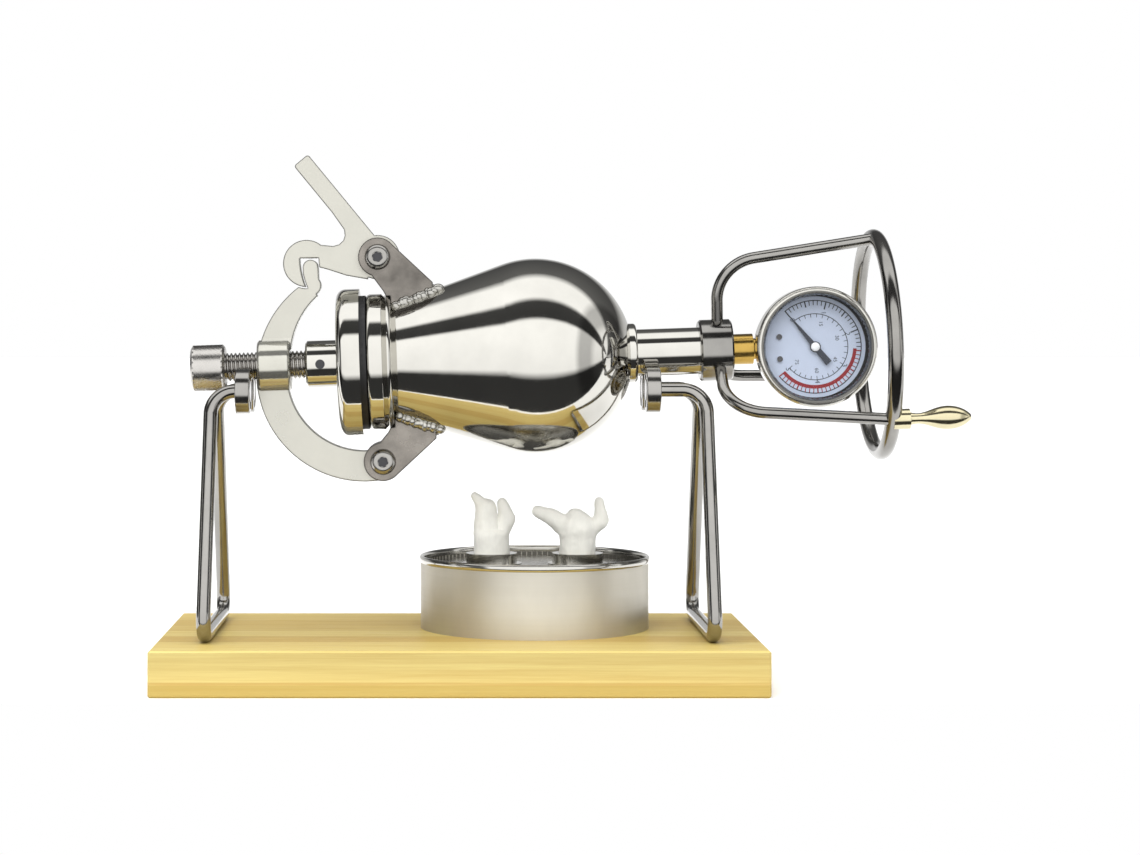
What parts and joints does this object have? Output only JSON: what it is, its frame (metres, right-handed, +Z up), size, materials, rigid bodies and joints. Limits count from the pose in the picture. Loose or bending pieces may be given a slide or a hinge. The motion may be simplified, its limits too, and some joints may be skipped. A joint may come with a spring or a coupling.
{
  "type": "popcorn maker",
  "caption": "Hand-cranked pressure popcorn maker: a steel vessel with clamped lid, latch and gauge turns on rollers over a wick burner on a wooden board.",
  "frame": {"origin": "centre of the board's underside", "axes": "+X along the board from the clamp knob to the crank, +Y to the back, +Z up"},
  "size_m": [0.3366, 0.135, 0.2218],
  "materials": {
    "bamboo": "laminated bamboo with a clear satin lacquer",
    "polished_rod": "polished steel rod",
    "bearing_steel": "ground bearing steel",
    "screw_steel": "plated screws",
    "mirror_steel": "mirror-polished stainless steel",
    "satin_steel": "satin cast steel",
    "knurled_steel": "knurled steel",
    "thread_steel": "machined thread",
    "gasket_rubber": "black silicone rubber",
    "brass": "turned brass",
    "gauge_chrome": "chromed pressed steel",
    "lens_glass": "clear flat lens",
    "dial_face": "pale blue-white dial paint",
    "needle_black": "matt black",
    "tin": "satin tinplate",
    "collar_steel": "bright pressed steel",
    "wick_cotton": "white cotton"
  },
  "bodies": {
    "stand": {"base_board": "bamboo", "stand_left": "polished_rod", "stand_right": "polished_rod", "stand_screws": "screw_steel", "roller_inner_rings": "bearing_steel", "roller_balls": "bearing_steel"},
    "roller_left_front": {"roller_left_front": "bearing_steel"},
    "roller_left_rear": {"roller_left_rear": "bearing_steel"},
    "roller_right_front": {"roller_right_front": "bearing_steel"},
    "roller_right_rear": {"roller_right_rear": "bearing_steel"},
    "vessel": {"vessel_shell": "mirror_steel", "mouth_flange": "mirror_steel", "neck_tube": "mirror_steel", "neck_weld_ring": "mirror_steel", "latch_lug": "satin_steel", "hinge_lug": "satin_steel", "latch_pin": "screw_steel", "hinge_pin": "screw_steel", "crank_hub": "mirror_steel", "crank_ring": "polished_rod", "crank_spoke_1": "polished_rod", "crank_spoke_2": "polished_rod", "crank_spoke_3": "polished_rod", "grip_pin": "screw_steel", "grip_ferrule": "brass", "yoke_arm": "satin_steel", "gauge_adapter": "brass", "gauge_case": "gauge_chrome", "gauge_bezel": "gauge_chrome", "gauge_lens": "lens_glass", "gauge_dial": "dial_face", "dial_screws": "screw_steel", "gauge_socket": "brass", "bourdon_tube": "brass", "movement_frame": "brass", "gauge_link": "brass"},
    "lever": {"latch_lever": "satin_steel"},
    "lid": {"lid_disc": "mirror_steel", "lid_gasket": "gasket_rubber", "lid_boss": "mirror_steel", "boss_set_screw": "screw_steel"},
    "screw": {"clamp_screw": "thread_steel", "screw_knob": "knurled_steel"},
    "grip": {"crank_grip": "brass"},
    "sector": {"sector_gear": "brass"},
    "needle": {"gauge_needle": "needle_black", "needle_pinion": "brass"},
    "burner": {"burner_can": "tin", "burner_top": "tin", "wick_collars": "collar_steel", "wick_left": "wick_cotton", "wick_right": "wick_cotton"}
  },
  "joints": [
    {"name": "vessel_spin", "type": "hinge", "parent": "stand", "child": "vessel", "pos_m": [-0.0387, 0, 0.13371], "axis": [0.9994, 0, 0.0351], "continuous": true},
    {"name": "lever_swing", "type": "hinge", "parent": "vessel", "child": "lever", "pos_m": [-0.03442, 0, 0.17849], "axis": [0, 1, 0], "range_deg": [0, 100]},
    {"name": "lid_travel", "type": "slide", "parent": "vessel", "child": "lid", "axis": [-0.9994, 0, -0.0351], "range_m": [0, 0.00525]},
    {"name": "screw_spin", "type": "hinge", "parent": "lid", "child": "screw", "pos_m": [-0.08867, 0, 0.13196], "axis": [-0.9994, 0, -0.0351], "range_deg": [0, 1080.5]},
    {"name": "grip_spin", "type": "hinge", "parent": "vessel", "child": "grip", "pos_m": [0.19224, -0.03419, 0.11102], "axis": [0.9994, 0, 0.0351], "continuous": true},
    {"name": "sector_swing", "type": "hinge", "parent": "vessel", "child": "sector", "pos_m": [0.15168, 0, 0.12624], "axis": [0, -1, 0], "range_deg": [0, 45], "stiffness_Nm_per_rad": 0.05},
    {"name": "needle_swing", "type": "hinge", "parent": "vessel", "child": "needle", "pos_m": [0.15118, 0, 0.14038], "axis": [0, 1, 0], "range_deg": [0, 270.5]},
    {"name": "burner_slide", "type": "slide", "parent": "stand", "child": "burner", "axis": [0, -1, 0], "range_m": [0, 0.045]},
    {"name": "roller_left_front_spin", "type": "hinge", "parent": "stand", "child": "roller_left_front", "pos_m": [-0.091, -0.012, 0.1216], "axis": [1, 0, 0], "continuous": true},
    {"name": "roller_left_rear_spin", "type": "hinge", "parent": "stand", "child": "roller_left_rear", "pos_m": [-0.091, 0.012, 0.1216], "axis": [1, 0, 0], "continuous": true},
    {"name": "roller_right_front_spin", "type": "hinge", "parent": "stand", "child": "roller_right_front", "pos_m": [0.082, -0.012, 0.1222], "axis": [1, 0, 0], "continuous": true},
    {"name": "roller_right_rear_spin", "type": "hinge", "parent": "stand", "child": "roller_right_rear", "pos_m": [0.082, 0.012, 0.1222], "axis": [1, 0, 0], "continuous": true}
  ],
  "couplings": [
    {"joint": "screw_spin", "follows": "lid_travel", "rad_per_m": 3590.4},
    {"joint": "needle_swing", "follows": "sector_swing", "ratio": 6},
    {"joint": "roller_left_front_spin", "follows": "vessel_spin", "ratio": -0.63158},
    {"joint": "roller_left_rear_spin", "follows": "vessel_spin", "ratio": -0.63158},
    {"joint": "roller_right_front_spin", "follows": "vessel_spin", "ratio": -1.0526},
    {"joint": "roller_right_rear_spin", "follows": "vessel_spin", "ratio": -1.0526}
  ]
}
